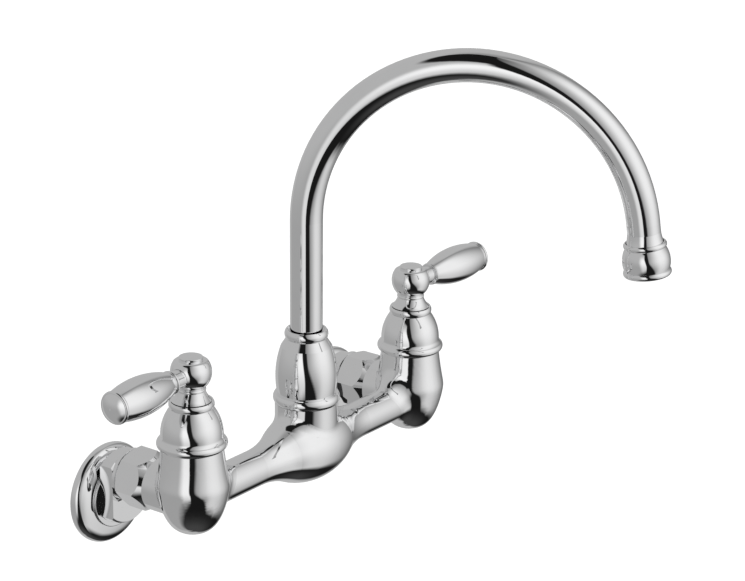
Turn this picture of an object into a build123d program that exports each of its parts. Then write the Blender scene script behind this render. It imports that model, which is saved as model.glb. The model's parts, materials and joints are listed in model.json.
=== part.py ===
from build123d import *
import math
import os

# A wall-mounted kitchen faucet: a bridge body on two eccentric wall unions, two quarter-turn lever valves and
# a swivelling gooseneck spout. Millimetres, X along the wall, +Y into the wall, +Z up. The origin lies on the
# wall face, midway between the two supply inlets. Heights named _Z below are above the bridge axis.

# Overall layout
CENTRES = 203.2
STAND_OFF = 67.3
UNION_DROP = 14.0

# Clearances
SEAT_GAP = 0.1
RUNNING_GAP = 0.05
OPEN_GAP = 0.3

# Valve bodies on the bridge
BODY_R = 20.7
BODY_WIDEST_Z = 4.7
BODY_BOTTOM_Z = -21.0
BODY_SHOULDER_R = 17.7
BODY_SHOULDER_Z = 30.3
RIM_R = 16.9
RIM_Z = 33.5
CHAMBER_R = 13.0
CHAMBER_FLOOR_Z = 8.0
SEAT_POCKET_R = 8.0
SEAT_POCKET_FLOOR_Z = 1.4
SEAT_PORT_R = 5.0

# Arms, spout hub and inlet bosses of the bridge
ARM_R = 10.8
ARM_START = 48.0
ARM_BORE_R = 5.5
ARM_BORE_END = 22.0
RISING_PORT_R = 3.8
RISING_PORT_Z = 15.0
BELLY_R = 21.8
NECK_R = 18.65
NECK_Z = 27.2
NECK_FILLET = 9.0
ARM_FILLET = 14.0
HUB_BOSS_R = 15.5
HUB_BOSS_Z = 32.3
HUB_BORE_R = 11.65
HUB_BORE_FLOOR_Z = -9.0
BOSS_R = 15.5
BOSS_RISE = 1.6
BOSS_LENGTH = 25.0
BOSS_FILLET = 1.2
INLET_BORE_R = 5.0
INLET_BORE_DROP = 4.2
BOSS_THREAD_R = 10.5
BOSS_THREAD_DEPTH = 9.0

# Wall connection, lengths along Y
TAILPIECE_BORE_R = 6.5
TAILPIECE_FLANGE_R = 12.6
TAILPIECE_FLANGE_T = 2.5
NUT_FLATS = 30.6
NUT_FRONT_R = 13.3
NUT_FRONT_CONE = 5.9
NUT_END_R = 14.2
NUT_END_CONE = 2.2
NUT_LENGTH = 20.2
NUT_BACK_GAP = 0.4
NUT_WEB = 4.8
NUT_TURNS = {"left": 18.0, "right": -25.0}
WASHER_T = 2.0
UNION_MALE_R = 13.0
UNION_SHOULDER_R = 15.4
UNION_SHOULDER_T = 2.2
UNION_BODY_R = 21.5
UNION_BODY_DROP = 6.6
UNION_BODY_T = 9.5
UNION_FLATS = 29.0
UNION_EDGE = 1.0
UNION_FRONT_BORE_R = 6.0
UNION_LINK_R = 3.5
UNION_BARREL_R = 16.0
INLET_THREAD_R = 9.4
INLET_THREAD_DEPTH = 14.0
FLANGE_R = 29.8
FLANGE_WIDEST_AT = 2.2
FLANGE_BACK_R = 29.2
FLANGE_CREASE_R = 27.2
FLANGE_CREASE_AT = 6.5
FLANGE_NECK_R = 18.4
FLANGE_CROWN = 0.55
FLANGE_BEAD = 1.3
FLANGE_CAVITY_R = 24.2
FLANGE_WALL = 1.2

# Valve works
SEAT_T = 2.6
SEAT_BORE_R = 3.2
SPRING_WIRE = 0.7
SPRING_R = 6.2
SPRING_TURNS = 1.75
CARTRIDGE_Z = 27.0
CARTRIDGE_WALL = 3.0
CARTRIDGE_FLOOR = 3.0
CARTRIDGE_PORT_R = 3.4
ROTOR_R = 9.6
ROTOR_T = 4.0
ROTOR_PORT_OFFSET = 4.6
ROTOR_PORT_R = 3.0
STEM_R = 5.0
STEM_TIP_R = 4.0
STEM_SHOULDER_Z = 51.0
STEM_Z = 69.0
STEM_RING_Z = 42.0
STEM_RING_WIRE = 0.8
BONNET_FLATS = 26.0
BONNET_FLANGE_T = 5.0
BONNET_BOSS_R = 10.5
BONNET_Z = 50.0

# Dome over each valve
DOME_LIP_R = 20.1
DOME_LIP_RISE = 2.6
DOME_EDGE_R = 19.3
DOME_EDGE_RISE = 4.9
DOME_COVE_R = 18.2
DOME_COVE_RISE = 6.0
DOME_FOOT_R = 17.75
DOME_FOOT_Z = 38.2
DOME_MIDDLE_R = 15.7
DOME_MIDDLE_Z = 48.4
DOME_NECK_R = 12.3
DOME_NECK_Z = 54.3
DOME_COLLAR_R = 12.9
DOME_TOP_Z = 58.4
DOME_WALL = 1.6
DOME_THREAD_Z = 44.0

# Handle
HUB_FOOT_R = 11.5
HUB_WAIST_R = 7.9
HUB_WAIST_Z = 64.4
HUB_RING_R = 8.3
HUB_RING_HALF = 0.95
BALL_R = 11.7
BALL_Z = 75.2
BALL_FLAT_Z = 82.4
BALL_EDGE = 2.5
HUB_FLOOR_Z = 73.5
SCREW_HEAD_R = 4.0
SCREW_HEAD_T = 3.0
SCREW_R = 2.0
SCREW_LENGTH = 11.0
SCREW_DRIVE = 2.5
BUTTON_R = 6.8
BUTTON_T = 2.1
BUTTON_CROWN = 0.3
BUTTON_EDGE = 0.3
BUTTON_PLUG_R = 5.6
BUTTON_PLUG_T = 2.2
LEVER_SWING = 2.4
LEVER_Z = 74.2
LEVER_STUB_R = 3.5
LEVER_STUB_IN = 6.4
LEVER_NECK_R = 5.4
LEVER_NECK_END = 17.8
LEVER_RING_R = 6.9
LEVER_RING_HALF = 0.75
LEVER_ROOT_R = 6.3
LEVER_FAT_R = 11.1
LEVER_FAT_AT = 42.4
LEVER_END_R = 8.7
LEVER_END_AT = 63.4
LEVER_RIM_R = 9.5
LEVER_RIM_HALF = 1.2
LEVER_CAP_R = 8.2
LEVER_CAP_RISE = 2.6

# Spout
TUBE_R = 9.525
TUBE_WALL = 1.2
BEND_R = 96.8
BEND_Z = 137.9
BEND_ANGLE = 173.0
SPOUT_SWIVEL = 25.8
TUBE_FOOT_Z = 9.0
TUBE_TAIL = 12.1
TUBE_FLARE_R = 10.9
TUBE_FLARE_LENGTH = 7.0
SPIGOT_FLANGE_R = 13.2
SPIGOT_FLANGE_T = 3.0
SPIGOT_RING_WIRE = 1.4
SPIGOT_RING_HEIGHTS = (14.0, 20.0)
BEARING_T = 3.0
VASE_RING_R = 19.7
VASE_RING_HALF = 2.8
VASE_FOOT_R = 17.3
VASE_FAT_R = 18.2
VASE_FAT_Z = 44.5
VASE_SHOULDER_R = 15.0
VASE_SHOULDER_Z = 61.8
VASE_NECK_R = 11.9
VASE_NECK_Z = 66.6
VASE_BEAD_R = 12.85
VASE_BEAD_HALF = 2.7
VASE_RECESS_R = 11.0
VASE_RECESS_DEPTH = 2.2
VASE_CAVITY_R = 12.6
VASE_CAVITY_TOP_Z = 58.0

# Aerator on the spout's end, lengths along its own axis from its top
NOZZLE_OVERLAP = 1.4
NOZZLE_BEAD_R = 12.35
NOZZLE_BEAD_HALF = 1.6
NOZZLE_FAT_R = 13.7
NOZZLE_FAT_AT = 10.7
NOZZLE_FOOT_R = 12.9
NOZZLE_FOOT_BEAD_R = 13.75
NOZZLE_FOOT_HALF = 1.7
NOZZLE_LENGTH = 19.3
NOZZLE_BORE_R = 11.2
NOZZLE_LIP = 1.6
AERATOR_WASHER_T = 2.0
AERATOR_INSERT_T = 8.0
AERATOR_HOLE_R = 1.1
AERATOR_HOLES = 10
AERATOR_HOLE_CIRCLE_R = 6.6
SCREEN_T = 0.6
SCREEN_HOLE = 1.1
SCREEN_PITCH = 2.0
SCREEN_ROWS = 7

# Positions that follow from the sizes, along Y from the valve's axis for the wall connection
HALF_CENTRES = CENTRES / 2
NUT_FRONT = BOSS_LENGTH + NUT_BACK_GAP
NUT_END = NUT_FRONT + NUT_LENGTH
TAILPIECE_FLANGE_AT = NUT_FRONT + NUT_WEB + SEAT_GAP
TAILPIECE_END = TAILPIECE_FLANGE_AT + TAILPIECE_FLANGE_T
UNION_FRONT = TAILPIECE_END + WASHER_T
UNION_BODY_FRONT = NUT_END + UNION_SHOULDER_T
UNION_BODY_BACK = UNION_BODY_FRONT + UNION_BODY_T
LEVER_SHOULDER = math.sqrt(BALL_R**2 - (LEVER_NECK_R + BALL_Z - LEVER_Z) ** 2) - OPEN_GAP
BEARING_Z = HUB_BOSS_Z + 2 * SEAT_GAP + SPIGOT_FLANGE_T
NOZZLE_TOP = TUBE_TAIL - NOZZLE_OVERLAP
NOZZLE_END = NOZZLE_TOP + NOZZLE_LENGTH
AERATOR_TOP = NOZZLE_TOP + 2 * NOZZLE_BEAD_HALF
INSERT_TOP = AERATOR_TOP + AERATOR_WASHER_T
SCREEN_TOP = INSERT_TOP + AERATOR_INSERT_T

BASE = (Align.CENTER, Align.CENTER, Align.MIN)
SIDES = {"left": -1, "right": 1}
HEX_SIDES = 6
HALF_TURN = 180


def outline(start, *steps):
    """Closed face: each step is a corner to go straight to, or a pair (through, end) for an arc."""
    edges = []
    at = start
    for step in steps:
        if isinstance(step[0], tuple):
            through, end = step
            edges.append(ThreePointArc(at, through, end))
        else:
            end = step
            edges.append(Line(at, end))
        at = end
    edges.append(Line(at, start))
    return make_face(edges)


def cap(radius, base, rise):
    """Arc step from the edge of a domed end to its tip on the axis."""
    ball_r = (radius**2 + rise**2) / (2 * rise)
    through = (radius / 2, base + rise - ball_r + math.sqrt(ball_r**2 - radius**2 / 4))
    return through, (0, base + rise)


def turned(face):
    """Solid of revolution of a face drawn as (radius, height)."""
    return revolve(Plane.XZ * face, Axis.Z)


def rod(radius, low, high):
    return Pos(0, 0, low) * Cylinder(radius, high - low, align=BASE)


def sleeve(outer, inner, low, high):
    return rod(outer, low, high) - rod(inner, low, high)


def hexagon(flats, low, high):
    """Hexagonal prism with two of its flats facing along X."""
    face = RegularPolygon(flats / 2, HEX_SIDES, major_radius=False, rotation=HALF_TURN / HEX_SIDES)
    return extrude(Pos(0, 0, low) * face, high - low)


def along_y(shape):
    """Turn a shape drawn along Z so that its Z runs into the wall, and its X stays."""
    return Rot(-90, 0, 0) * shape


def at_valve(side, shape):
    """Move a shape drawn about a valve's axis, above the bridge axis, to its valve."""
    return Pos(SIDES[side] * HALF_CENTRES, -STAND_OFF, UNION_DROP) * shape


def at_boss(side, shape):
    """Move a shape drawn along Z about the inlet boss's axis, from the valve's axis, to its boss."""
    return at_valve(side, Pos(0, 0, BOSS_RISE) * along_y(shape))


def at_hub(shape):
    """Move a shape drawn about the spout's axis, above the bridge axis, to the hub."""
    return Pos(0, -STAND_OFF, UNION_DROP) * shape


def at_inlet(side, shape):
    """Move a shape drawn about the wall inlet's axis, from the wall's face, to its inlet."""
    return Pos(SIDES[side] * HALF_CENTRES, 0, 0) * shape


def valve_body():
    """Teardrop body of one valve, solid, its lower half close to an ellipse."""
    half_way = math.sqrt(0.5)
    turn = (BODY_R * half_way, BODY_WIDEST_Z - (BODY_WIDEST_Z - BODY_BOTTOM_Z) * half_way)
    edges = [
        Spline(
            (0, BODY_BOTTOM_Z),
            turn,
            (BODY_R, BODY_WIDEST_Z),
            (BODY_SHOULDER_R, BODY_SHOULDER_Z),
            tangents=((1, 0), (-(BODY_R - BODY_SHOULDER_R), BODY_SHOULDER_Z - BODY_WIDEST_Z)),
        ),
        Line((BODY_SHOULDER_R, BODY_SHOULDER_Z), (RIM_R, BODY_SHOULDER_Z)),
        Line((RIM_R, BODY_SHOULDER_Z), (RIM_R, RIM_Z)),
        Line((RIM_R, RIM_Z), (0, RIM_Z)),
        Line((0, RIM_Z), (0, BODY_BOTTOM_Z)),
    ]
    return turned(make_face(edges))


def bridge_arms():
    """Both arms and the hub's belly as one spindle about the X axis."""
    middle_x = ARM_START / 2
    middle_r = (BELLY_R + ARM_R) / 2
    rise = BELLY_R - ARM_R
    bend_r = (ARM_START**2 + rise**2) / (4 * rise)
    sag = bend_r - math.sqrt(bend_r**2 - (ARM_START / 4) ** 2)
    face = outline(
        (-HALF_CENTRES, 0),
        (-HALF_CENTRES, ARM_R),
        (-ARM_START, ARM_R),
        ((-ARM_START * 3 / 4, ARM_R + sag), (-middle_x, middle_r)),
        ((0, BELLY_R), (middle_x, middle_r)),
        ((ARM_START * 3 / 4, ARM_R + sag), (ARM_START, ARM_R)),
        (HALF_CENTRES, ARM_R),
        (HALF_CENTRES, 0),
    )
    return revolve(Plane.XZ * face, Axis.X)


def bridge_outside():
    arms = bridge_arms()
    neck = rod(NECK_R, 0, NECK_Z)
    hub = arms + neck
    hub = fillet(new_edges(arms, neck, combined=hub), NECK_FILLET)
    for sign in SIDES.values():
        body = Pos(sign * HALF_CENTRES, 0, 0) * valve_body()
        joined = hub + body
        hub = fillet(new_edges(hub, body, combined=joined), ARM_FILLET)
    for sign in SIDES.values():
        boss = Pos(sign * HALF_CENTRES, 0, BOSS_RISE) * along_y(rod(BOSS_R, 0, BOSS_LENGTH))
        joined = hub + boss
        hub = fillet(new_edges(hub, boss, combined=joined), BOSS_FILLET)
    return hub + rod(HUB_BOSS_R, 0, HUB_BOSS_Z)


def bridge_passages():
    """Everything that is bored out of the bridge, with the valve at +X as the pattern for both."""
    cuts = [rod(HUB_BORE_R, HUB_BORE_FLOOR_Z, HUB_BOSS_Z)]
    bore_end = HALF_CENTRES - ARM_BORE_END
    cuts.append(Pos(-bore_end, 0, 0) * Rot(0, 90, 0) * rod(ARM_BORE_R, 0, 2 * bore_end))
    for sign in SIDES.values():
        valve = Pos(sign * HALF_CENTRES, 0, 0)
        cuts.append(valve * rod(CHAMBER_R, CHAMBER_FLOOR_Z, RIM_Z))
        cuts.append(valve * rod(SEAT_POCKET_R, SEAT_POCKET_FLOOR_Z, CHAMBER_FLOOR_Z))
        cuts.append(valve * rod(SEAT_PORT_R, -INLET_BORE_DROP, SEAT_POCKET_FLOOR_Z))
        inlet = along_y(rod(INLET_BORE_R, -SEAT_PORT_R, BOSS_LENGTH))
        cuts.append(valve * Pos(0, 0, -INLET_BORE_DROP) * inlet)
        thread = along_y(rod(BOSS_THREAD_R, BOSS_LENGTH - BOSS_THREAD_DEPTH, BOSS_LENGTH))
        cuts.append(valve * Pos(0, 0, BOSS_RISE) * thread)
        reach = ARM_BORE_END - CHAMBER_R
        angle = math.degrees(math.atan2(reach, RISING_PORT_Z))
        port = rod(RISING_PORT_R, 0, math.hypot(reach, RISING_PORT_Z))
        cuts.append(Pos(sign * bore_end, 0, 0) * Rot(0, sign * angle, 0) * port)
    return cuts


def bridge_body():
    body = bridge_outside()
    for cut in bridge_passages():
        body -= cut
    return at_hub(body)


def inlet_tailpiece(side):
    """Flanged tube that screws into the inlet boss and carries the coupling nut."""
    thread_r = BOSS_THREAD_R - SEAT_GAP
    start = BOSS_LENGTH - BOSS_THREAD_DEPTH + SEAT_GAP
    piece = rod(thread_r, start, TAILPIECE_FLANGE_AT)
    piece += rod(TAILPIECE_FLANGE_R, TAILPIECE_FLANGE_AT, TAILPIECE_END)
    piece -= rod(TAILPIECE_BORE_R, start, TAILPIECE_END)
    return at_boss(side, piece)


def coupling_nut(side):
    """Hexagonal nut with both ends turned to a cone, and its own turn about the boss's axis."""
    nut = hexagon(NUT_FLATS, NUT_FRONT, NUT_END)
    corner_r = NUT_FLATS / 2 / math.cos(math.pi / HEX_SIDES)
    crown = outline(
        (0, NUT_FRONT),
        (NUT_FRONT_R, NUT_FRONT),
        (corner_r, NUT_FRONT + NUT_FRONT_CONE),
        (corner_r, NUT_END - NUT_END_CONE),
        (NUT_END_R, NUT_END),
        (0, NUT_END),
    )
    nut = nut & turned(crown)
    nut -= rod(BOSS_THREAD_R, NUT_FRONT, NUT_END)
    nut -= rod(UNION_MALE_R + SEAT_GAP, NUT_FRONT + NUT_WEB, NUT_END)
    return at_boss(side, Rot(0, 0, NUT_TURNS[side]) * nut)


def union_washer(side):
    return at_boss(side, sleeve(TAILPIECE_FLANGE_R, TAILPIECE_BORE_R, TAILPIECE_END, UNION_FRONT))


def inlet_union(side):
    """Eccentric union: its front on the boss's axis, its back on the lower inlet's, joined by a bore down its disc."""
    front = rod(UNION_MALE_R, UNION_FRONT, UNION_BODY_FRONT)
    front += rod(UNION_SHOULDER_R, NUT_END + SEAT_GAP, UNION_BODY_FRONT)
    disc = rod(UNION_BODY_R, UNION_BODY_FRONT, UNION_BODY_BACK)
    disc = chamfer(disc.edges().filter_by(GeomType.CIRCLE), UNION_EDGE)
    disc &= Box(UNION_FLATS, 2 * UNION_BODY_R, 2 * UNION_BODY_BACK)
    barrel = rod(UNION_BARREL_R, UNION_BODY_BACK, STAND_OFF)
    piece = Pos(0, 0, BOSS_RISE) * along_y(front)
    piece += Pos(0, 0, -UNION_BODY_DROP) * along_y(disc)
    piece += Pos(0, 0, -UNION_DROP) * along_y(barrel)
    link_y = (UNION_BODY_FRONT + UNION_BODY_BACK) / 2
    piece -= Pos(0, 0, BOSS_RISE) * along_y(rod(UNION_FRONT_BORE_R, UNION_FRONT, link_y))
    piece -= Pos(0, link_y, 0) * rod(UNION_LINK_R, -UNION_DROP, BOSS_RISE)
    piece -= Pos(0, 0, -UNION_DROP) * along_y(rod(INLET_THREAD_R, STAND_OFF - INLET_THREAD_DEPTH, STAND_OFF))
    return at_valve(side, piece)


def wall_flange(side):
    """Domed cover, drawn from the wall outwards along Z."""
    depth = STAND_OFF - UNION_BODY_BACK - SEAT_GAP
    bead_z = depth - FLANGE_BEAD
    across = FLANGE_CREASE_R - FLANGE_NECK_R
    climb = bead_z - FLANGE_CREASE_AT
    lift = FLANGE_CROWN / math.hypot(across, climb)
    crown = (FLANGE_NECK_R + across / 2 + climb * lift, FLANGE_CREASE_AT + climb / 2 + across * lift)
    outer = outline(
        (0, 0),
        (FLANGE_BACK_R, 0),
        ((FLANGE_R, FLANGE_WIDEST_AT), (FLANGE_CREASE_R, FLANGE_CREASE_AT)),
        (crown, (FLANGE_NECK_R, bead_z)),
        ((FLANGE_NECK_R + FLANGE_BEAD / 2, bead_z + FLANGE_BEAD / 2), (FLANGE_NECK_R, depth)),
        (0, depth),
    )
    inner = outline(
        (0, 0),
        (FLANGE_CAVITY_R, 0),
        (FLANGE_CAVITY_R, FLANGE_CREASE_AT - FLANGE_WALL),
        (FLANGE_NECK_R - FLANGE_WALL, bead_z - FLANGE_WALL),
        (0, bead_z - FLANGE_WALL),
    )
    shell = turned(outer) - turned(inner) - rod(UNION_BARREL_R + SEAT_GAP, 0, depth)
    return at_inlet(side, Rot(90, 0, 0) * shell)


def valve_seat(side):
    top = CHAMBER_FLOOR_Z
    return at_valve(side, sleeve(SEAT_POCKET_R - SEAT_GAP, SEAT_BORE_R, top - SEAT_T, top))


def biarc(start, start_way, end, end_way):
    """Two arcs that leave start along start_way and reach end along end_way."""
    span = end - start
    ways = start_way + end_way
    bend = 2 * (1 - start_way.dot(end_way))
    reach = (-span.dot(ways) + math.sqrt(span.dot(ways) ** 2 + bend * span.dot(span))) / bend
    first_pole = start + start_way * reach
    second_pole = end - end_way * reach
    middle = (first_pole + second_pole) * 0.5
    way = (second_pole - first_pole).normalized()
    return [TangentArc(start, middle, tangent=start_way), TangentArc(middle, end, tangent=way)]


def seat_spring(side):
    """Short coil spring between the pocket's floor and the seat, one unbroken wire."""
    wire_r = SPRING_WIRE / 2
    low = SEAT_POCKET_FLOOR_Z + wire_r
    high = CHAMBER_FLOOR_Z - SEAT_T - wire_r
    quarters = round(SPRING_TURNS * 4)
    rise = (high - low) / quarters
    pitch_way = rise / (math.pi / 2)
    points, ways = [], []
    for i in range(quarters + 1):
        angle = i * math.pi / 2
        points.append(Vector(SPRING_R * math.cos(angle), SPRING_R * math.sin(angle), low + i * rise))
        ways.append(Vector(-SPRING_R * math.sin(angle), SPRING_R * math.cos(angle), pitch_way).normalized())
    arcs = []
    for i in range(quarters):
        arcs += biarc(points[i], ways[i], points[i + 1], ways[i + 1])
    coil = sweep(Plane(points[0], z_dir=ways[0]) * Circle(wire_r), path=Wire(arcs))
    print("seat spring", side, "least gap between turns", round(4 * rise - SPRING_WIRE, 2))
    return at_valve(side, coil)


def cartridge(side):
    """Plastic shell with a port in its floor and a window towards the arm."""
    shell = rod(CHAMBER_R - SEAT_GAP, CHAMBER_FLOOR_Z, CARTRIDGE_Z)
    floor_z = CHAMBER_FLOOR_Z + CARTRIDGE_FLOOR
    shell -= rod(CHAMBER_R - CARTRIDGE_WALL, floor_z, CARTRIDGE_Z - CARTRIDGE_WALL)
    shell -= rod(STEM_R + RUNNING_GAP, floor_z, CARTRIDGE_Z)
    shell -= rod(SEAT_BORE_R, CHAMBER_FLOOR_Z, floor_z)
    window_z = floor_z + ROTOR_T + CARTRIDGE_PORT_R
    turn = 90 if side == "left" else -90
    shell -= Pos(0, 0, window_z) * Rot(0, turn, 0) * rod(CARTRIDGE_PORT_R, 0, CHAMBER_R)
    return at_valve(side, shell)


def valve_stem(side):
    """Stem with a ported rotor at its foot, a ring groove and a threaded tip."""
    foot_z = CHAMBER_FLOOR_Z + CARTRIDGE_FLOOR + RUNNING_GAP
    stem = rod(ROTOR_R, foot_z, foot_z + ROTOR_T)
    stem += rod(STEM_R, foot_z, STEM_SHOULDER_Z)
    stem += rod(STEM_TIP_R, foot_z, STEM_Z)
    groove_r = STEM_R - 2 * STEM_RING_WIRE
    groove_half = STEM_RING_WIRE + SEAT_GAP
    stem -= sleeve(STEM_R, groove_r, STEM_RING_Z - groove_half, STEM_RING_Z + groove_half)
    stem -= Pos(0, -ROTOR_PORT_OFFSET, 0) * rod(ROTOR_PORT_R, foot_z, foot_z + ROTOR_T)
    stem -= rod(SCREW_R, HUB_FLOOR_Z - SCREW_LENGTH - SEAT_GAP, STEM_Z)
    return at_valve(side, stem)


def stem_o_ring(side):
    ring = Pos(0, 0, STEM_RING_Z) * Torus(STEM_R - STEM_RING_WIRE, STEM_RING_WIRE)
    return at_valve(side, ring)


def bonnet_nut(side):
    nut = rod(CHAMBER_R - SEAT_GAP, CARTRIDGE_Z, RIM_Z)
    nut += hexagon(BONNET_FLATS, RIM_Z, RIM_Z + BONNET_FLANGE_T)
    nut += rod(BONNET_BOSS_R, RIM_Z, BONNET_Z)
    nut -= rod(STEM_R + RUNNING_GAP, CARTRIDGE_Z, BONNET_Z)
    return at_valve(side, nut)


def valve_dome(side):
    """Bell-shaped cover that slips over the body's rim and screws on the bonnet nut."""
    skirt_z = BODY_SHOULDER_Z + SEAT_GAP
    lip = (DOME_LIP_R, skirt_z + DOME_LIP_RISE)
    edge = (DOME_EDGE_R, skirt_z + DOME_EDGE_RISE)
    cove = (DOME_COVE_R, skirt_z + DOME_COVE_RISE)
    collar = (DOME_COLLAR_R, (DOME_NECK_Z + DOME_TOP_Z) / 2)
    outer = outline(
        (0, skirt_z),
        (BODY_SHOULDER_R, skirt_z),
        (lip, edge),
        (cove, (DOME_FOOT_R, DOME_FOOT_Z)),
        ((DOME_MIDDLE_R, DOME_MIDDLE_Z), (DOME_NECK_R, DOME_NECK_Z)),
        (collar, (DOME_NECK_R, DOME_TOP_Z)),
        (0, DOME_TOP_Z),
    )
    inner = outline(
        (0, skirt_z),
        (RIM_R + SEAT_GAP, skirt_z),
        (RIM_R + SEAT_GAP, RIM_Z + OPEN_GAP),
        (DOME_FOOT_R - DOME_WALL, DOME_FOOT_Z),
        (DOME_MIDDLE_R - DOME_WALL, DOME_THREAD_Z),
        (0, DOME_THREAD_Z),
    )
    shell = turned(outer) - turned(inner)
    shell -= rod(BONNET_BOSS_R + SEAT_GAP, DOME_THREAD_Z, BONNET_Z + SEAT_GAP)
    shell -= rod(STEM_R + OPEN_GAP, BONNET_Z, DOME_TOP_Z)
    return at_valve(side, shell)


def handle_hub(side):
    """Trumpet foot and ball, hollow for the stem, its screw and the button's plug."""
    foot_z = DOME_TOP_Z + OPEN_GAP
    ring_z = HUB_WAIST_Z + HUB_RING_HALF
    ball_low_z = ring_z + HUB_RING_HALF
    ball_low_r = math.sqrt(BALL_R**2 - (BALL_Z - ball_low_z) ** 2)
    flat_r = math.sqrt(BALL_R**2 - (BALL_FLAT_Z - BALL_Z) ** 2)
    cove = ((HUB_FOOT_R + 2 * HUB_WAIST_R) / 3, (foot_z + HUB_WAIST_Z) / 2)
    face = outline(
        (0, foot_z),
        (HUB_FOOT_R, foot_z),
        (cove, (HUB_WAIST_R, HUB_WAIST_Z)),
        ((HUB_RING_R, ring_z), (ball_low_r, ball_low_z)),
        ((BALL_R, BALL_Z), (flat_r, BALL_FLAT_Z)),
        (0, BALL_FLAT_Z),
    )
    hub = turned(face)
    hub = fillet(hub.edges().filter_by(GeomType.CIRCLE).sort_by(Axis.Z)[-1], BALL_EDGE)
    hub -= rod(STEM_TIP_R + SEAT_GAP, foot_z, STEM_Z + SEAT_GAP)
    hub -= rod(SCREW_R + SEAT_GAP, STEM_Z, HUB_FLOOR_Z)
    hub -= rod(BUTTON_PLUG_R + SEAT_GAP, HUB_FLOOR_Z, BALL_FLAT_Z)
    hub -= at_lever(side, rod(LEVER_STUB_R + SEAT_GAP, LEVER_STUB_IN, BALL_R))
    hub -= at_lever(side, rod(LEVER_NECK_R + SEAT_GAP, LEVER_SHOULDER, 2 * BALL_R))
    return at_valve(side, hub)


def at_lever(side, shape):
    """Turn a shape drawn along Z to the closed position: outwards along the wall, a little towards the user."""
    swing = LEVER_SWING - HALF_TURN if side == "left" else -LEVER_SWING
    return Pos(0, 0, LEVER_Z) * Rot(0, 0, swing) * Rot(0, 90, 0) * shape


def lever(side):
    """Barrel lever, drawn along Z from the handle's axis."""
    ring_at = LEVER_NECK_END + LEVER_RING_HALF
    root_at = LEVER_NECK_END + 2 * LEVER_RING_HALF
    rim_at = LEVER_END_AT + LEVER_RIM_HALF
    cap_at = LEVER_END_AT + 2 * LEVER_RIM_HALF
    face = outline(
        (0, LEVER_STUB_IN + SEAT_GAP),
        (LEVER_STUB_R, LEVER_STUB_IN + SEAT_GAP),
        (LEVER_STUB_R, LEVER_SHOULDER),
        (LEVER_NECK_R, LEVER_SHOULDER),
        (LEVER_NECK_R, LEVER_NECK_END),
        ((LEVER_RING_R, ring_at), (LEVER_ROOT_R, root_at)),
        ((LEVER_FAT_R, LEVER_FAT_AT), (LEVER_END_R, LEVER_END_AT)),
        ((LEVER_RIM_R, rim_at), (LEVER_CAP_R, cap_at)),
        cap(LEVER_CAP_R, cap_at, LEVER_CAP_RISE),
    )
    return at_valve(side, at_lever(side, turned(face)))


def handle_screw(side):
    head_z = HUB_FLOOR_Z
    screw = rod(SCREW_R, head_z - SCREW_LENGTH, head_z) + rod(SCREW_HEAD_R, head_z, head_z + SCREW_HEAD_T)
    screw -= hexagon(SCREW_DRIVE, head_z + SCREW_HEAD_T / 2, head_z + SCREW_HEAD_T)
    return at_valve(side, screw)


def index_button(side):
    """Plain disc that covers the handle's screw, with a rounded edge and a slightly crowned face."""
    edge_z = BALL_FLAT_Z + BUTTON_T - BUTTON_CROWN
    inset_r = BUTTON_R - BUTTON_EDGE
    bend = BUTTON_EDGE * math.sqrt(0.5)
    crown = outline(
        (0, BALL_FLAT_Z),
        (BUTTON_R, BALL_FLAT_Z),
        (BUTTON_R, edge_z - BUTTON_EDGE),
        ((inset_r + bend, edge_z - BUTTON_EDGE + bend), (inset_r, edge_z)),
        cap(inset_r, edge_z, BUTTON_CROWN),
    )
    button = turned(crown) + rod(BUTTON_PLUG_R, BALL_FLAT_Z - BUTTON_PLUG_T, BALL_FLAT_Z)
    return at_valve(side, button)


def swivelled(shape):
    """Turn a shape drawn towards the user to the spout's stored direction."""
    return at_hub(Rot(0, 0, SPOUT_SWIVEL) * shape)


def at_nozzle(shape):
    """Move a shape drawn along Z, from the end of the bend, onto the spout's end, pointing out of it."""
    angle = math.radians(BEND_ANGLE)
    reach = BEND_R * (1 - math.cos(angle))
    height = BEND_Z + BEND_R * math.sin(angle)
    return swivelled(Pos(0, -reach, height) * Rot(BEND_ANGLE, 0, 0) * shape)


def spout_path(low):
    top = (0, -BEND_R, BEND_Z)
    bend = Plane(origin=top, x_dir=(0, 1, 0), z_dir=(1, 0, 0)) * CenterArc((0, 0), BEND_R, 0, BEND_ANGLE)
    return Wire([Line((0, 0, low), (0, 0, BEND_Z)), bend])


def spout_tube():
    """Riser and bend as one tube, with a flared end in the aerator's housing."""
    outer = sweep(Pos(0, 0, TUBE_FOOT_Z) * Circle(TUBE_R), path=spout_path(TUBE_FOOT_Z))
    inner = sweep(Pos(0, 0, TUBE_FOOT_Z) * Circle(TUBE_R - TUBE_WALL), path=spout_path(TUBE_FOOT_Z))
    flare_at = TUBE_TAIL - TUBE_FLARE_LENGTH
    flare_mid = (TUBE_R + (TUBE_FLARE_R - TUBE_R) / 3, flare_at + TUBE_FLARE_LENGTH / 2)
    tail = outline(
        (0, 0),
        (TUBE_R, 0),
        (TUBE_R, flare_at),
        (flare_mid, (TUBE_FLARE_R, TUBE_TAIL)),
        (0, TUBE_TAIL),
    )
    return swivelled(outer - inner) + at_nozzle(turned(tail) - rod(TUBE_R - TUBE_WALL, 0, TUBE_TAIL))


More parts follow.
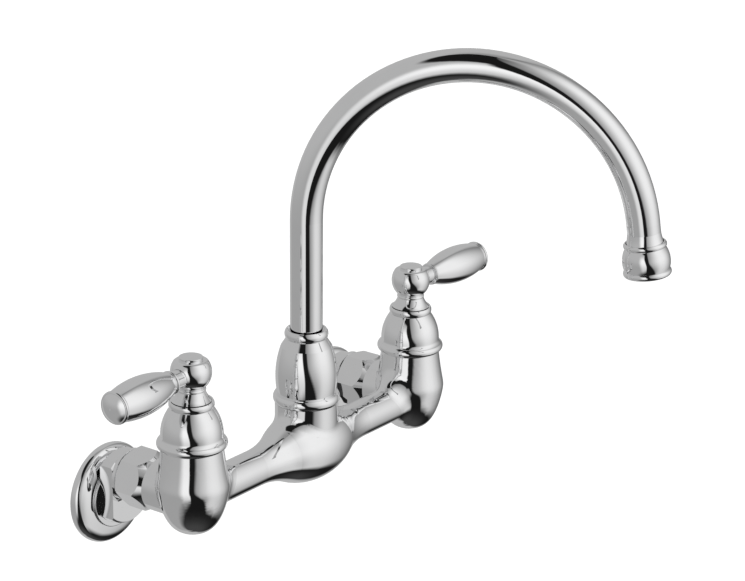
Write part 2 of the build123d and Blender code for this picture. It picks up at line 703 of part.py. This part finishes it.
def spout_spigot():
    """Sleeve brazed on the tube's foot, with a flange and two ring grooves."""
    radius = HUB_BORE_R - RUNNING_GAP
    flange_z = HUB_BOSS_Z + SEAT_GAP
    piece = rod(radius, TUBE_FOOT_Z, flange_z) + rod(SPIGOT_FLANGE_R, flange_z, flange_z + SPIGOT_FLANGE_T)
    piece -= rod(TUBE_R, TUBE_FOOT_Z, flange_z + SPIGOT_FLANGE_T)
    half = SPIGOT_RING_WIRE / 2 + SEAT_GAP
    for height in SPIGOT_RING_HEIGHTS:
        piece -= sleeve(radius, radius - SPIGOT_RING_WIRE, height - half, height + half)
    return at_hub(piece)


def spout_o_rings():
    wire_r = SPIGOT_RING_WIRE / 2
    ring_r = HUB_BORE_R - RUNNING_GAP - wire_r
    return at_hub(Compound([Pos(0, 0, height) * Torus(ring_r, wire_r) for height in SPIGOT_RING_HEIGHTS]))


def spout_bearing():
    return at_hub(sleeve(HUB_BOSS_R, TUBE_R + RUNNING_GAP, BEARING_Z, BEARING_Z + BEARING_T))


def spout_nut():
    """Vase-shaped nut: screws on the hub's boss and traps the spigot's flange under the bearing ring."""
    foot_z = NECK_Z + SEAT_GAP
    ring_z = foot_z + VASE_RING_HALF
    bead_z = VASE_NECK_Z + VASE_BEAD_HALF
    top = VASE_NECK_Z + 2 * VASE_BEAD_HALF
    outer = outline(
        (0, foot_z),
        (NECK_R, foot_z),
        ((VASE_RING_R, ring_z), (NECK_R, ring_z + VASE_RING_HALF)),
        (VASE_FOOT_R, ring_z + VASE_RING_HALF),
        ((VASE_FAT_R, VASE_FAT_Z), (VASE_SHOULDER_R, VASE_SHOULDER_Z)),
        (VASE_NECK_R, VASE_NECK_Z),
        ((VASE_BEAD_R, bead_z), (VASE_NECK_R, top)),
        (0, top),
    )
    nut = turned(outer)
    shelf_z = BEARING_Z + BEARING_T + SEAT_GAP
    nut -= rod(HUB_BOSS_R + SEAT_GAP, foot_z, shelf_z)
    nut -= rod(VASE_CAVITY_R, shelf_z, VASE_CAVITY_TOP_Z)
    nut -= rod(TUBE_R + OPEN_GAP, shelf_z, top) + rod(VASE_RECESS_R, top - VASE_RECESS_DEPTH, top)
    return at_hub(nut)


def aerator_housing():
    """Barrel on the spout's end, drawn along Z out of the bend's end."""
    bead_at = NOZZLE_TOP + NOZZLE_BEAD_HALF
    foot_at = NOZZLE_END - 2 * NOZZLE_FOOT_HALF
    inset_r = NOZZLE_BEAD_R - NOZZLE_BEAD_HALF / 2
    outer = outline(
        (0, NOZZLE_TOP),
        (inset_r, NOZZLE_TOP),
        ((NOZZLE_BEAD_R, bead_at), (inset_r, AERATOR_TOP)),
        ((NOZZLE_FAT_R, NOZZLE_TOP + NOZZLE_FAT_AT), (NOZZLE_FOOT_R, foot_at)),
        ((NOZZLE_FOOT_BEAD_R, foot_at + NOZZLE_FOOT_HALF), (NOZZLE_FOOT_R, NOZZLE_END)),
        (0, NOZZLE_END),
    )
    housing = turned(outer)
    housing -= rod(TUBE_FLARE_R, NOZZLE_TOP, TUBE_TAIL)
    housing -= rod(TUBE_R - TUBE_WALL, TUBE_TAIL, AERATOR_TOP)
    housing -= rod(NOZZLE_BORE_R, AERATOR_TOP, NOZZLE_END)
    return at_nozzle(housing)


def aerator_washer():
    return at_nozzle(sleeve(NOZZLE_BORE_R - SEAT_GAP, TUBE_R - TUBE_WALL, AERATOR_TOP, INSERT_TOP))


def aerator_insert():
    """Flow straightener with a ring of holes round a middle hole."""
    insert = rod(NOZZLE_BORE_R - SEAT_GAP, INSERT_TOP, SCREEN_TOP)
    insert -= rod(NOZZLE_BORE_R - NOZZLE_LIP, INSERT_TOP + AERATOR_INSERT_T / 2, SCREEN_TOP)
    hole = rod(AERATOR_HOLE_R, INSERT_TOP, SCREEN_TOP)
    insert -= hole
    for place in PolarLocations(AERATOR_HOLE_CIRCLE_R, AERATOR_HOLES):
        insert -= place * hole
    return at_nozzle(insert)


def aerator_screen():
    """Square-holed screen under the insert, held by a rolled ring."""
    face = Circle(NOZZLE_BORE_R - SEAT_GAP)
    hole = Rectangle(SCREEN_HOLE, SCREEN_HOLE)
    limit = NOZZLE_BORE_R - NOZZLE_LIP
    for place in GridLocations(SCREEN_PITCH, SCREEN_PITCH, SCREEN_ROWS, SCREEN_ROWS):
        if place.position.length + SCREEN_HOLE < limit:
            face -= place * hole
    return at_nozzle(extrude(Pos(0, 0, SCREEN_TOP) * face, SCREEN_T))


def save(name, shape):
    export_step(shape, os.path.join("parts", name + ".step"))


os.makedirs("parts", exist_ok=True)
save("bridge_body", bridge_body())
PAIRED = (wall_flange, inlet_union, coupling_nut, inlet_tailpiece, union_washer, valve_seat, seat_spring, cartridge,
          bonnet_nut, valve_dome, valve_stem, stem_o_ring, handle_hub, lever, handle_screw, index_button)
for make in PAIRED:
    for side in SIDES:
        save(side + "_" + make.__name__, make(side))
SINGLE = (spout_tube, spout_spigot, spout_o_rings, spout_bearing, spout_nut, aerator_housing, aerator_washer,
          aerator_insert, aerator_screen)
for make in SINGLE:
    save(make.__name__, make())
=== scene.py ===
import json
import math

import bpy
from mathutils import Matrix, Vector


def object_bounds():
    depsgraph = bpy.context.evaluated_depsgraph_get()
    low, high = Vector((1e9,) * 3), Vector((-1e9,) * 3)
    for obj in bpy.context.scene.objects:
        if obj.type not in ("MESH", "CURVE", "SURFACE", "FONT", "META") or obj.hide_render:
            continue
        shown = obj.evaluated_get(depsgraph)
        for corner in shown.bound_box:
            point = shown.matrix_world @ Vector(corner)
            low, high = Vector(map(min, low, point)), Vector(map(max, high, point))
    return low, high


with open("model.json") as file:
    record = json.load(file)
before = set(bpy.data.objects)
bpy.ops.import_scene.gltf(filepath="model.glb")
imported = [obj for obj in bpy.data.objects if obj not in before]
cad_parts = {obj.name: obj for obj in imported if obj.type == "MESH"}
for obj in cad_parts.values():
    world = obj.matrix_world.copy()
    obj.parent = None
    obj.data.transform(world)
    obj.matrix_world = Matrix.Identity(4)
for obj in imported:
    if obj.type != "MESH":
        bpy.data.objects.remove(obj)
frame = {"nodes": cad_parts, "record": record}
CAD_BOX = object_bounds()
scene = bpy.context.scene

# Camera, a little above the faucet and in front of its left end, in metres and degrees; then the floor
CAMERA_AT = (-1.11821, -0.96691, 0.60172)
AZIMUTH = -52.71
ELEVATION = 18.93
ROLL = 0.47
LENS_MM = 126.68
SENSOR_MM = 36.0
VIEW_END = 100
FLOOR_DROP = 0.6
FLOOR_HALF = 12.0
FLOOR_GLOW = 0.75
FLOOR_CLOUD = 3.0
FLOOR_DARK = (0.80, 0.80, 0.80)
FLOOR_LIGHT = (0.84, 0.84, 0.84)
FLOOR_ROUGHNESS = 0.9
WHITE = (1, 1, 1, 1)

# Studio light. A level is how bright an area is, and a share is a part of that.
# A turn goes round the faucet from the user's side to +X and a rise goes up from the horizon, in degrees.
# A pair says where a change begins and ends; a slope or a lean tilts an edge.
WALL_LEVEL = 0.475
WALL_LOW_LEVEL = 0.365
WALL_RISE = (-25.0, 10.0)
WALL_EDGE_RISE = (-20.0, 25.0)
WALL_EDGE_TURN = (-56.5, -69.5)
WALL_EDGE_SOFT = (-2.0, 2.0)
WALL_TOP_SLOPE = 0.4
WALL_TOP_SOFT = (1.5, 9.5)
WALL_FOOT_SLOPE = -0.48
WALL_FOOT_SOFT = (-19.0, 7.0)
STRIP_LEVEL = 0.53
STRIP_LEAN = 0.25
STRIP_TURN = (-98.0, -77.0)
STRIP_TOP_RISE = (8.0, 36.0)
STRIP_FOOT_RISE = (-30.0, 2.0)
STRIP_FOOT_SHARE = 0.6
PANEL_LEVEL = 0.93
PANEL_LEFT_LEVEL = 0.15
PANEL_LEFT_TURN = (-74.0, 14.0)
PANEL_RIGHT_TURN = (25.0, 115.0)
PANEL_RIGHT_SHARE = 0.16
PANEL_EDGE_SLOPE = 0.235
PANEL_EDGE_SOFT = (-48.5, -42.5)
PANEL_CORNER_SLOPE = 1.05
PANEL_CORNER_SOFT = (-54.5, -40.5)
PANEL_FOOT_SOFT = (-54.0, -42.0)
PANEL_FOOT_SLOPE = -0.2
PANEL_FOOT_SLOPE_START = 45.0
PANEL_SHADE_RISE = (-40.0, 12.0)
PANEL_SHADE_TURN = (-25.0, 20.0)
PANEL_SHADE_SHARES = (0.25, 0.71)
PANEL_TOP_RISE = (50.0, 84.0)
PANEL_TOP_SHARE = 0.45
ROOM_LEVEL = 0.48
ROOM_TURN = (92.0, 120.0)
ROOM_LEAN = 0.3
ROOM_LEAN_START = -10.0
ROOM_FOOT_RISE = (-86.0, -72.0)
ROOM_TOP_RISE = (60.0, 85.0)
ROOM_TOP_SHARE = 0.6
UNDERSIDE_LEVEL = 0.055
GAP_LEVEL = 0.010
UNDERSIDE_RISE = (-80.0, -48.0)

# Finishes: noise scales per metre, noise values where a change begins and ends, and bump depths in metres
CHROME_DARK = (0.880, 0.882, 0.888)
CHROME_LIGHT = (0.918, 0.918, 0.920)
CHROME_SMOOTH = 0.02
HAZE_CLOUD = 70.0
HAZE_SPREAD = (0.3, 0.75)
RIPPLE_CLOUD = 55.0
RIPPLE_DEPTH = 0.0004
TOOL_MARKS = (300.0, 300.0, 4000.0)
TOOL_MARK_SPREAD = (0.25, 0.75)
TOOL_MARK_STRENGTH = 0.15
METAL_CLOUD = 140.0
GRAIN_SPREAD = (0.3, 0.7)
GRAIN_STRENGTH = 0.2
GRAIN_CLOUD = 180.0
FINE_DEPTH = 0.0001


class Nodes:
    """Short ways to add nodes to one tree."""

    def __init__(self, tree):
        self.tree = tree
        tree.nodes.clear()

    def add(self, kind, **inputs):
        made = self.tree.nodes.new(kind)
        for name, value in inputs.items():
            self.set(made.inputs[name.replace("_", " ")], value)
        return made

    def set(self, socket, value):
        if isinstance(value, bpy.types.NodeSocket):
            self.tree.links.new(value, socket)
        else:
            socket.default_value = value

    def calc(self, operation, *values):
        made = self.tree.nodes.new("ShaderNodeMath")
        made.operation = operation
        for socket, value in zip(made.inputs, values):
            self.set(socket, value)
        return made.outputs[0]

    def span(self, value, low, high, bottom=0.0, top=1.0):
        """Runs smoothly from bottom to top while value runs from low to high."""
        made = self.tree.nodes.new("ShaderNodeMapRange")
        made.interpolation_type = "SMOOTHSTEP"
        for socket, number in zip(made.inputs, (value, low, high, bottom, top)):
            self.set(socket, number)
        return made.outputs[0]

    def product(self, *values):
        result = values[0]
        for value in values[1:]:
            result = self.calc("MULTIPLY", result, value)
        return result

    def brightest(self, *values):
        result = values[0]
        for value in values[1:]:
            result = self.calc("MAXIMUM", result, value)
        return result

    def noise(self, place, scale, detail=2.0):
        made = self.add("ShaderNodeTexNoise", Vector=place, Scale=scale, Detail=detail)
        return made.outputs["Fac"]

    def ramp(self, factor, dark, light):
        made = self.add("ShaderNodeValToRGB", Fac=factor)
        made.color_ramp.elements[0].color = (*dark, 1)
        made.color_ramp.elements[1].color = (*light, 1)
        return made.outputs[0]


def wall_light(n, turn, rise):
    """Grey wall on the left, with a bright strip along its near edge."""
    wall = n.span(rise, *WALL_RISE, WALL_LOW_LEVEL, WALL_LEVEL)
    lean = n.calc("MULTIPLY_ADD", n.calc("MINIMUM", rise, 0.0), STRIP_LEAN, turn)
    strip_side = n.span(lean, *STRIP_TURN, 0.0, STRIP_LEVEL)
    strip_top = n.span(rise, *STRIP_TOP_RISE, 1.0, 0.0)
    strip_foot = n.span(rise, *STRIP_FOOT_RISE, STRIP_FOOT_SHARE, 1.0)
    strip = n.product(strip_side, strip_top, strip_foot)
    edge_at = n.span(rise, *WALL_EDGE_RISE, *WALL_EDGE_TURN)
    edge = n.span(n.calc("SUBTRACT", edge_at, turn), *WALL_EDGE_SOFT)
    top = n.span(n.calc("MULTIPLY_ADD", turn, WALL_TOP_SLOPE, rise), *WALL_TOP_SOFT, 1.0, 0.0)
    foot = n.span(n.calc("MULTIPLY_ADD", turn, WALL_FOOT_SLOPE, rise), *WALL_FOOT_SOFT)
    return n.product(n.calc("ADD", wall, strip), edge, top, foot)


def panel_light(n, turn, rise):
    """Large soft panel in front, brightest in its middle."""
    left = n.span(turn, *PANEL_LEFT_TURN, PANEL_LEFT_LEVEL, PANEL_LEVEL)
    right = n.span(turn, *PANEL_RIGHT_TURN, 1.0, PANEL_RIGHT_SHARE)
    edge = n.span(n.calc("MULTIPLY_ADD", rise, PANEL_EDGE_SLOPE, turn), *PANEL_EDGE_SOFT)
    corner = n.span(n.calc("MULTIPLY_ADD", turn, PANEL_CORNER_SLOPE, rise), *PANEL_CORNER_SOFT)
    beyond = n.calc("MAXIMUM", n.calc("SUBTRACT", turn, PANEL_FOOT_SLOPE_START), 0.0)
    foot = n.span(n.calc("MULTIPLY_ADD", beyond, PANEL_FOOT_SLOPE, rise), *PANEL_FOOT_SOFT)
    shade = n.span(rise, *PANEL_SHADE_RISE, n.span(turn, *PANEL_SHADE_TURN, *PANEL_SHADE_SHARES), 1.0)
    top = n.span(rise, *PANEL_TOP_RISE, 1.0, PANEL_TOP_SHARE)
    return n.product(left, right, edge, corner, foot, shade, top)


def room_light(n, turn, rise):
    """Grey room on the far right and behind."""
    lean = n.calc("MULTIPLY_ADD", n.calc("MAXIMUM", rise, ROOM_LEAN_START), ROOM_LEAN, turn)
    side = n.span(lean, *ROOM_TURN, 0.0, ROOM_LEVEL)
    foot = n.span(rise, *ROOM_FOOT_RISE)
    top = n.span(rise, *ROOM_TOP_RISE, 1.0, ROOM_TOP_SHARE)
    return n.product(side, foot, top)


def studio_light():
    """Soft areas round the faucet with dark gaps between them; plain white where the lens looks."""
    world = bpy.data.worlds.new("studio")
    scene.world = world
    world.use_nodes = True
    n = Nodes(world.node_tree)
    way = n.add("ShaderNodeSeparateXYZ", Vector=n.add("ShaderNodeTexCoord").outputs["Generated"])
    x, y, z = way.outputs
    turn = n.calc("DEGREES", n.calc("ARCTAN2", x, n.calc("MULTIPLY", y, -1.0)))
    rise = n.calc("DEGREES", n.calc("ARCSINE", z))
    underside = n.span(rise, *UNDERSIDE_RISE, UNDERSIDE_LEVEL, GAP_LEVEL)
    seen = n.add("ShaderNodeLightPath").outputs["Is Camera Ray"]
    areas = (wall_light(n, turn, rise), panel_light(n, turn, rise), room_light(n, turn, rise))
    shine = n.add("ShaderNodeBackground", Color=WHITE, Strength=n.brightest(*areas, underside, seen))
    out = n.add("ShaderNodeOutputWorld")
    n.set(out.inputs["Surface"], shine.outputs[0])


def new_material(name):
    material = bpy.data.materials.new(name)
    material.use_nodes = True
    n = Nodes(material.node_tree)
    shader = n.add("ShaderNodeBsdfPrincipled")
    out = n.add("ShaderNodeOutputMaterial")
    n.set(out.inputs["Surface"], shader.outputs[0])
    place = n.add("ShaderNodeTexCoord").outputs["Object"]
    return material, n, shader, place


def bump(n, shader, height, strength, distance):
    made = n.add("ShaderNodeBump", Strength=strength, Distance=distance, Height=height)
    n.set(shader.inputs["Normal"], made.outputs[0])


def chrome(name, haze, ripple):
    """Polished plating: a faint haze that comes and goes, and the slow ripple of a buffed surface."""
    material, n, shader, place = new_material(name)
    cloud = n.noise(place, HAZE_CLOUD, detail=3.0)
    n.set(shader.inputs["Base Color"], n.ramp(cloud, CHROME_DARK, CHROME_LIGHT))
    n.set(shader.inputs["Roughness"], n.span(cloud, *HAZE_SPREAD, CHROME_SMOOTH, haze))
    shader.inputs["Metallic"].default_value = 1.0
    bump(n, shader, n.noise(place, RIPPLE_CLOUD, detail=1.0), ripple, RIPPLE_DEPTH)
    return material


def machined(name, dark, light, smooth, rough):
    """Turned metal with fine level tool marks, which run round the upright pieces."""
    material, n, shader, place = new_material(name)
    stretch = n.add("ShaderNodeMapping", Vector=place)
    stretch.inputs["Scale"].default_value = TOOL_MARKS
    marks = n.noise(stretch.outputs[0], scale=1.0, detail=3.0)
    n.set(shader.inputs["Base Color"], n.ramp(n.noise(place, METAL_CLOUD, detail=3.0), dark, light))
    n.set(shader.inputs["Roughness"], n.span(marks, *TOOL_MARK_SPREAD, smooth, rough))
    shader.inputs["Metallic"].default_value = 1.0
    bump(n, shader, marks, TOOL_MARK_STRENGTH, FINE_DEPTH)
    return material


def moulded(name, dark, light, smooth, rough, grain):
    """Moulded rubber or plastic with a fine grain."""
    material, n, shader, place = new_material(name)
    speck = n.noise(place, grain, detail=4.0)
    n.set(shader.inputs["Base Color"], n.ramp(n.noise(place, GRAIN_CLOUD, detail=3.0), dark, light))
    n.set(shader.inputs["Roughness"], n.span(speck, *GRAIN_SPREAD, smooth, rough))
    bump(n, shader, speck, GRAIN_STRENGTH, FINE_DEPTH)
    return material


def dress():
    """One finish for each slot of the record; cast chrome is hazier and the drawn spout tube smoother."""
    cast = chrome("chrome_cast", haze=0.060, ripple=0.030)
    turned = chrome("chrome_turned", haze=0.045, ripple=0.012)
    drawn = chrome("chrome_drawn", haze=0.040, ripple=0.008)
    finish = {
        "chrome": turned,
        "brass": machined("brass_turned", dark=(0.60, 0.43, 0.17), light=(0.78, 0.60, 0.30),
                          smooth=0.18, rough=0.38),
        "rubber": moulded("rubber_black", dark=(0.012, 0.012, 0.013), light=(0.035, 0.034, 0.033),
                          smooth=0.55, rough=0.80, grain=2600.0),
        "plastic": moulded("plastic_white", dark=(0.70, 0.70, 0.67), light=(0.80, 0.80, 0.77),
                           smooth=0.35, rough=0.50, grain=1800.0),
        "steel": machined("steel_drawn", dark=(0.46, 0.46, 0.47), light=(0.62, 0.62, 0.63),
                          smooth=0.22, rough=0.42),
    }
    for part in frame["record"]["subparts"]:
        node = part["node"]
        material = finish[part["material_slot"]]
        if node == "spout_tube":
            material = drawn
        elif node == "bridge_body" or node.endswith(("inlet_union", "coupling_nut", "wall_flange")):
            material = cast
        mesh = frame["nodes"][node].data
        mesh.materials.clear()
        mesh.materials.append(material)


def pale_floor():
    """A plain white floor well below the faucet, bright all over and left out of the mirror images."""
    mesh = bpy.data.meshes.new("floor")
    z = CAD_BOX[0].z - FLOOR_DROP
    corners = [(sx * FLOOR_HALF, sy * FLOOR_HALF, z) for sx, sy in ((-1, -1), (1, -1), (1, 1), (-1, 1))]
    mesh.from_pydata(corners, [], [(0, 1, 2, 3)])
    floor = bpy.data.objects.new("floor", mesh)
    scene.collection.objects.link(floor)
    material, n, shader, place = new_material("floor_white")
    n.set(shader.inputs["Base Color"], n.ramp(n.noise(place, FLOOR_CLOUD), FLOOR_DARK, FLOOR_LIGHT))
    shader.inputs["Roughness"].default_value = FLOOR_ROUGHNESS
    shader.inputs["Emission Color"].default_value = WHITE
    shader.inputs["Emission Strength"].default_value = FLOOR_GLOW
    mesh.materials.append(material)
    floor.visible_glossy = False


def photo_camera():
    a, e, roll = (math.radians(v) for v in (AZIMUTH, ELEVATION, ROLL))
    side = Vector((math.cos(a), math.sin(a), 0))
    back = Vector((math.sin(a) * math.cos(e), -math.cos(a) * math.cos(e), math.sin(e)))
    up = back.cross(side)
    right = side * math.cos(roll) + up * math.sin(roll)
    above = up * math.cos(roll) - side * math.sin(roll)
    data = bpy.data.cameras.new("camera")
    data.sensor_width = SENSOR_MM
    data.lens = LENS_MM
    data.clip_end = VIEW_END
    camera = bpy.data.objects.new("camera", data)
    scene.collection.objects.link(camera)
    camera.matrix_world = Matrix.Translation(CAMERA_AT) @ Matrix((right, above, back)).transposed().to_4x4()
    scene.camera = camera


scene.view_settings.view_transform = "Standard"
studio_light()
dress()
pale_floor()
photo_camera()
bpy.context.view_layer.update()
